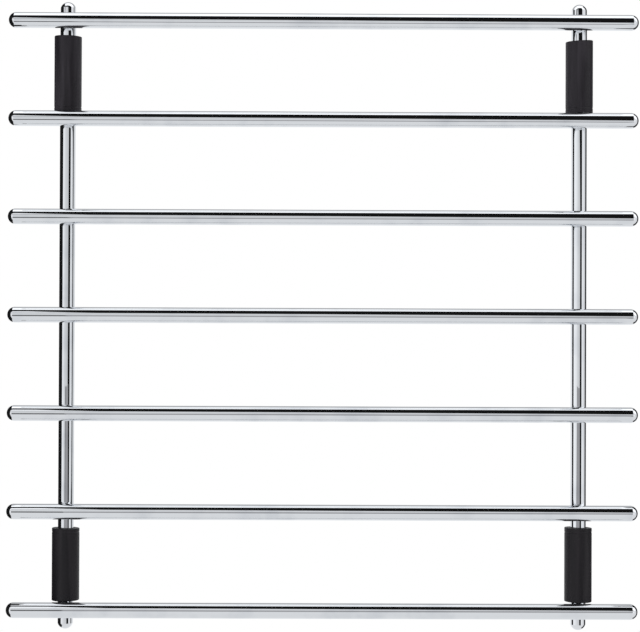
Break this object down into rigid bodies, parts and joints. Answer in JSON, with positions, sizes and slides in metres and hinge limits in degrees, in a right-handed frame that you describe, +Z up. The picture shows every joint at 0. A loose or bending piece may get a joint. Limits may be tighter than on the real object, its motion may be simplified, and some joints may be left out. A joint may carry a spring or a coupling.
{
  "type": "window security bar",
  "caption": "Flat grille of parallel round bars laid across two round posts, with domed ends, and thick soft sleeves that slide on the posts near the corners.",
  "frame": {"origin": "midway between the two posts, on the plane through their axes, level with the shoulders where the foot domes begin", "axes": "+X along the bars to the right as seen from the front, +Y back towards the window, +Z up along the posts; the bars face -Y"},
  "size_m": [0.642, 0.037, 0.642],
  "materials": {
    "chromed_tube": "bright chrome plate on round steel tube",
    "chromed_cap": "bright chrome plate on turned steel",
    "black_rubber": "matt black extruded rubber, slightly warm",
    "zinc_screw": "bright zinc plate",
    "zinc_washer": "bright zinc plate, pressed",
    "steel_plug": "plain turned steel, oiled"
  },
  "bodies": {
    "frame": {"post_left": "chromed_tube", "post_right": "chromed_tube", "cap_post_left_foot": "chromed_cap", "cap_post_left_head": "chromed_cap", "cap_post_right_foot": "chromed_cap", "cap_post_right_head": "chromed_cap", "bar_1": "chromed_tube", "bar_2": "chromed_tube", "bar_3": "chromed_tube", "bar_4": "chromed_tube", "bar_5": "chromed_tube", "bar_6": "chromed_tube", "bar_7": "chromed_tube", "cap_bar_1_left": "chromed_cap", "cap_bar_1_right": "chromed_cap", "cap_bar_2_left": "chromed_cap", "cap_bar_2_right": "chromed_cap", "cap_bar_3_left": "chromed_cap", "cap_bar_3_right": "chromed_cap", "cap_bar_4_left": "chromed_cap", "cap_bar_4_right": "chromed_cap", "cap_bar_5_left": "chromed_cap", "cap_bar_5_right": "chromed_cap", "cap_bar_6_left": "chromed_cap", "cap_bar_6_right": "chromed_cap", "cap_bar_7_left": "chromed_cap", "cap_bar_7_right": "chromed_cap", "screws_left": "zinc_screw", "washers_left": "zinc_washer", "plugs_left": "steel_plug", "screws_right": "zinc_screw", "washers_right": "zinc_washer", "plugs_right": "steel_plug"},
    "sleeve_foot_left": {"sleeve_foot_left": "black_rubber"},
    "sleeve_foot_right": {"sleeve_foot_right": "black_rubber"},
    "sleeve_head_left": {"sleeve_head_left": "black_rubber"},
    "sleeve_head_right": {"sleeve_head_right": "black_rubber"}
  },
  "joints": [
    {"name": "sleeve_foot_left_slide", "type": "slide", "parent": "frame", "child": "sleeve_foot_left", "axis": [0, 0, 1], "range_m": [0, 0.0074]},
    {"name": "sleeve_foot_right_slide", "type": "slide", "parent": "frame", "child": "sleeve_foot_right", "axis": [0, 0, 1], "range_m": [0, 0.0074]},
    {"name": "sleeve_head_left_slide", "type": "slide", "parent": "frame", "child": "sleeve_head_left", "axis": [0, 0, 1], "range_m": [0, 0.0059]},
    {"name": "sleeve_head_right_slide", "type": "slide", "parent": "frame", "child": "sleeve_head_right", "axis": [0, 0, 1], "range_m": [0, 0.0074]}
  ]
}
